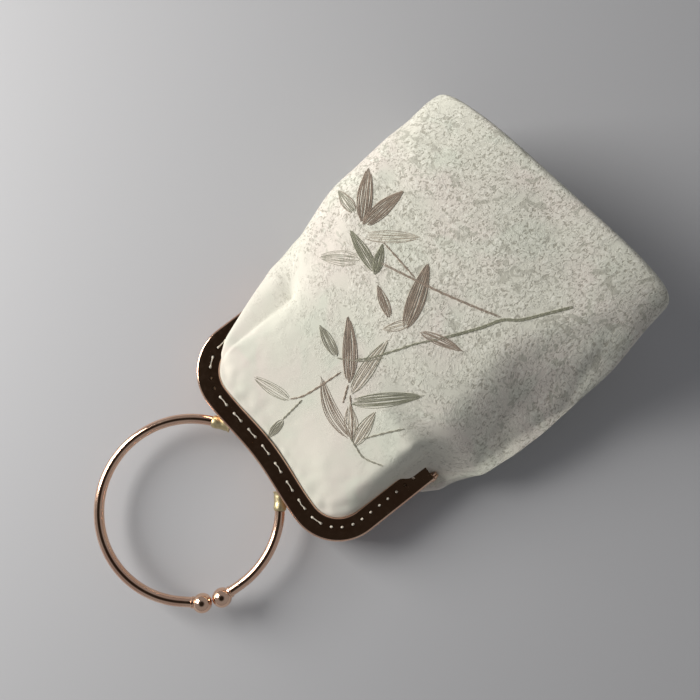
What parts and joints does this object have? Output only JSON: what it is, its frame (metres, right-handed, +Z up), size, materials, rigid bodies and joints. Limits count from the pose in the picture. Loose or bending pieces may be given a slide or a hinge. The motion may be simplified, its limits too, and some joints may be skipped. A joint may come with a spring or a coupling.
{
  "type": "handbag",
  "caption": "Small cloth evening bag lying on its back, with a hinged sewn-on metal clasp frame, a split ring handle whose two balls snap shut, and an embroidered bamboo sprig.",
  "frame": {"origin": "centre of the bounding box, on the surface that the bag lies on", "axes": "+Y from the ring handle toward the base of the bag, +Z up out of the embroidered front, +X across the bag toward the side where the clasp balls meet"},
  "size_m": [0.1606, 0.2864, 0.073],
  "materials": {
    "frame_metal": "polished rose gold plating",
    "solder": "satin brass solder sleeve",
    "cream_cloth": "cream figured weave with small flecks",
    "lining_cloth": "smooth satin lining",
    "sewing_thread": "twisted cream thread",
    "board": "plain stiffening board",
    "thread_umber": "brown grey embroidery floss",
    "thread_sage": "grey embroidery floss",
    "thread_olive": "grey green embroidery floss",
    "thread_ivory": "pale embroidery floss"
  },
  "bodies": {
    "bag": {"back_frame": "frame_metal", "back_handle_arc": "frame_metal", "back_handle_ball": "frame_metal", "back_handle_foot": "solder", "back_thread": "sewing_thread", "base_board": "board", "cloth_back": "cream_cloth", "cloth_base": "cream_cloth", "cloth_fold": "cream_cloth", "cloth_front": "cream_cloth", "cloth_gusset_left": "cream_cloth", "cloth_gusset_right": "cream_cloth", "hinge_rivet_left": "frame_metal", "hinge_rivet_right": "frame_metal", "leaf_01": "thread_sage", "leaf_02": "thread_umber", "leaf_03": "thread_umber", "leaf_04": "thread_ivory", "leaf_05": "thread_olive", "leaf_06": "thread_olive", "leaf_07": "thread_ivory", "leaf_08": "thread_umber", "leaf_09": "thread_umber", "leaf_10": "thread_umber", "leaf_11": "thread_sage", "leaf_12": "thread_umber", "leaf_13": "thread_ivory", "leaf_17": "thread_olive", "lining_back": "lining_cloth", "lining_base": "lining_cloth", "lining_fold": "lining_cloth", "lining_front": "lining_cloth", "lining_gusset_left": "lining_cloth", "lining_gusset_right": "lining_cloth", "twig_main": "thread_olive", "twig_middle": "thread_olive", "twig_side": "thread_umber", "twig_tip": "thread_umber", "twig_upper": "thread_sage"},
    "front_half": {"front_frame": "frame_metal", "front_handle_arc": "frame_metal", "front_handle_ball": "frame_metal", "front_handle_foot": "solder", "front_thread": "sewing_thread", "cloth_flap": "cream_cloth", "lining_flap": "lining_cloth", "leaf_14": "thread_olive", "leaf_15": "thread_sage", "leaf_16": "thread_umber", "leaf_18": "thread_ivory", "twig_cross": "thread_umber", "twig_end": "thread_sage", "twig_low": "thread_sage", "twig_lower": "thread_umber", "twig_trail": "thread_sage"}
  },
  "joints": [
    {"name": "clasp_hinge", "type": "hinge", "parent": "bag", "child": "front_half", "pos_m": [0.00292, 0.00825, 0.014], "axis": [-1, 0, 0], "range_deg": [0, 90], "deforming": ["cloth_fold", "lining_fold", "leaf_11", "leaf_12", "leaf_13", "leaf_17"]}
  ]
}
